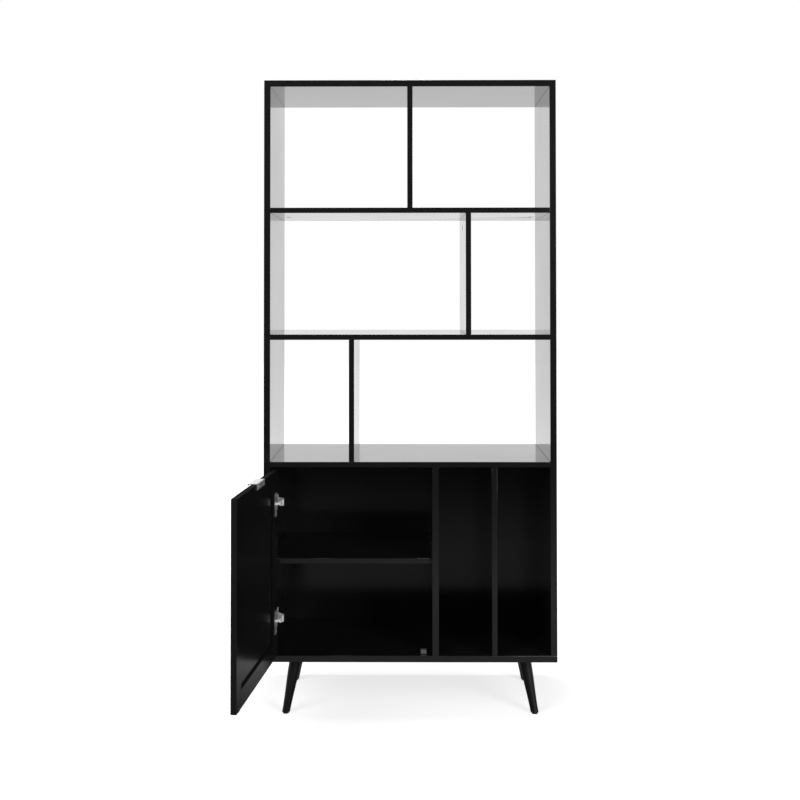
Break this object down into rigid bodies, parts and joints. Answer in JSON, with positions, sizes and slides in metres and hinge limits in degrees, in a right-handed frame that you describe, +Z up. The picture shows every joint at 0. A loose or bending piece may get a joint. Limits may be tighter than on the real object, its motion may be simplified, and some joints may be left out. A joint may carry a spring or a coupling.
{
  "type": "bookcase with cabinet",
  "caption": "Tall black bookcase on splayed legs: open bays with staggered dividers over a cabinet with an inset framed door and open upright slots.",
  "frame": {"origin": "centre of the whole piece's footprint on the floor, with the door standing open as in the picture", "axes": "+Z up, +Y towards the back, +X to the right when seen from the front"},
  "size_m": [0.842, 0.8212, 1.786],
  "materials": {
    "black_board": "satin black faced board",
    "black_back": "satin black faced hardboard",
    "black_door": "satin black lacquer",
    "black_leg": "satin black lacquer on turned wood",
    "zinc": "zinc plated and die cast, dull",
    "nickel_steel": "nickel plated steel, satin",
    "aluminium": "brushed and anodised",
    "grey_plastic": "matt moulded",
    "black_plastic": "matt moulded"
  },
  "bodies": {
    "carcass": {"top_panel": "black_board", "bottom_panel": "black_board", "left_side_panel": "black_board", "right_side_panel": "black_board", "upper_shelf": "black_board", "lower_shelf": "black_board", "cabinet_deck": "black_board", "top_bay_divider": "black_board", "middle_bay_divider": "black_board", "lower_bay_divider": "black_board", "cabinet_divider": "black_board", "slot_divider": "black_board", "cabinet_shelf": "black_board", "cabinet_back": "black_back", "leg_front_left": "black_leg", "leg_rear_left": "black_leg", "leg_front_right": "black_leg", "leg_rear_right": "black_leg", "upper_shelf_cam_left": "zinc", "upper_shelf_cam_right": "zinc", "lower_shelf_cam_left": "zinc", "lower_shelf_cam_right": "zinc", "middle_bay_divider_cam": "zinc", "leg_plate_front_left": "zinc", "leg_plate_rear_left": "zinc", "leg_plate_front_right": "zinc", "leg_plate_rear_right": "zinc", "upper_hinge_plate": "zinc", "lower_hinge_plate": "zinc", "shelf_pin_left_front": "nickel_steel", "shelf_pin_right_front": "nickel_steel", "shelf_pin_left_rear": "nickel_steel", "shelf_pin_right_rear": "nickel_steel", "leg_stud_front_left": "nickel_steel", "leg_stud_rear_left": "nickel_steel", "leg_stud_front_right": "nickel_steel", "leg_stud_rear_right": "nickel_steel", "upper_hinge_arm": "nickel_steel", "lower_hinge_arm": "nickel_steel", "magnetic_catch": "grey_plastic", "foot_glide_front_left": "black_plastic", "foot_glide_rear_left": "black_plastic", "foot_glide_front_right": "black_plastic", "foot_glide_rear_right": "black_plastic"},
    "door": {"door_hinge_stile": "black_door", "door_free_stile": "black_door", "door_bottom_rail": "black_door", "door_top_rail": "black_door", "door_panel": "black_door", "door_pull": "aluminium", "pull_screw_1": "nickel_steel", "pull_screw_2": "nickel_steel", "catch_strike_plate": "nickel_steel", "upper_hinge_cup": "nickel_steel", "upper_hinge_tongue": "nickel_steel", "lower_hinge_cup": "nickel_steel", "lower_hinge_tongue": "nickel_steel"},
    "upper_link": {"upper_hinge_link": "nickel_steel"},
    "lower_link": {"lower_hinge_link": "nickel_steel"}
  },
  "joints": [
    {"name": "door_swing", "type": "hinge", "parent": "carcass", "child": "door", "pos_m": [-0.37738, 0.0373, 0.43625], "axis": [0, 0, 1], "range_deg": [-9, 96]},
    {"name": "upper_link_swing", "type": "hinge", "parent": "carcass", "child": "upper_link", "pos_m": [-0.34648, 0.04855, 0.601], "axis": [0, 0, 1], "range_deg": [-84.5, 8]},
    {"name": "lower_link_swing", "type": "hinge", "parent": "carcass", "child": "lower_link", "pos_m": [-0.34648, 0.04855, 0.277], "axis": [0, 0, 1], "range_deg": [-84.5, 8]}
  ],
  "couplings": [
    {"joint": "upper_link_swing", "follows": "door_swing", "ratio": -0.879},
    {"joint": "lower_link_swing", "follows": "door_swing", "ratio": -0.879}
  ]
}
